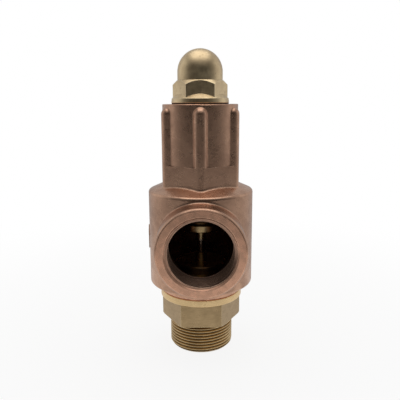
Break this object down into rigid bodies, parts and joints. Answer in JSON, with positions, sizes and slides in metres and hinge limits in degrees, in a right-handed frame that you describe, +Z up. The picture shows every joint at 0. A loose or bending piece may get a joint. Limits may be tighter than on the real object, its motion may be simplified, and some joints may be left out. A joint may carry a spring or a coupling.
{
  "type": "pressure relief valve",
  "caption": "Spring-loaded relief valve with a ribbed bronze body, threaded side outlet, threaded inlet below with a hexagon, and a screwed dome cap.",
  "frame": {"origin": "centre of the inlet's lower end, on the valve's axis", "axes": "+Z up the valve's axis towards the dome cap, -Y out of the side outlet, +X to the right of someone facing the outlet"},
  "size_m": [0.078, 0.0916, 0.2216],
  "materials": {
    "cast_bronze": "sand cast",
    "turned_brass": "turned",
    "cap_brass": "turned and polished",
    "inner_brass": "turned",
    "copper": "annealed",
    "spindle_steel": "turned",
    "spring_steel": "shot peened",
    "ptfe": "smooth",
    "fibre": "pressed fibre"
  },
  "bodies": {
    "housing": {"valve_body": "cast_bronze", "inlet_nozzle": "turned_brass", "nozzle_joint_ring": "copper"},
    "disc_train": {"disc_holder": "inner_brass", "seat_disc": "ptfe", "wing_guide": "inner_brass", "clamp_screw": "spindle_steel", "disc_pin": "spindle_steel", "spindle": "spindle_steel", "support_ring": "spindle_steel", "support_sleeve": "inner_brass", "lower_spring_plate": "inner_brass", "spring": "spring_steel"},
    "spring_load": {"upper_spring_plate": "inner_brass", "thrust_washer": "spindle_steel"},
    "adjuster": {"adjusting_screw": "inner_brass", "guide_bush": "ptfe"},
    "nut_washer": {"lock_nut_washer": "copper"},
    "nut": {"lock_nut": "inner_brass"},
    "cap_seal": {"cap_gasket": "fibre"},
    "cap": {"dome_cap": "cap_brass"}
  },
  "joints": [
    {"name": "disc_lift", "type": "slide", "parent": "housing", "child": "disc_train", "axis": [0, 0, 1], "range_m": [0, 0.0045], "stiffness_N_per_m": 34000, "springref_m": -0.0003, "deforming": ["spring"]},
    {"name": "adjuster_travel", "type": "slide", "parent": "housing", "child": "spring_load", "axis": [0, 0, 1], "range_m": [-0.002, 0.0035], "deforming": ["spring"]},
    {"name": "adjuster_turn", "type": "hinge", "parent": "spring_load", "child": "adjuster", "pos_m": [0, 0, 0.19], "axis": [0, 0, 1], "range_deg": [-480.6, 840.6]},
    {"name": "nut_rise", "type": "slide", "parent": "housing", "child": "nut_washer", "axis": [0, 0, 1], "range_m": [0, 0.003]},
    {"name": "nut_turn", "type": "hinge", "parent": "nut_washer", "child": "nut", "pos_m": [0, 0, 0.195], "axis": [0, 0, 1], "range_deg": [0, 720.6]},
    {"name": "cap_rise", "type": "slide", "parent": "housing", "child": "cap_seal", "axis": [0, 0, 1], "range_m": [0, 0.008]},
    {"name": "cap_turn", "type": "hinge", "parent": "cap_seal", "child": "cap", "pos_m": [0, 0, 0.19], "axis": [0, 0, 1], "range_deg": [0, 1920.6]}
  ],
  "couplings": [
    {"joint": "adjuster_turn", "follows": "adjuster_travel", "rad_per_m": 4188.8},
    {"joint": "nut_turn", "follows": "nut_rise", "rad_per_m": 4188.8},
    {"joint": "cap_turn", "follows": "cap_rise", "rad_per_m": 4188.8}
  ]
}
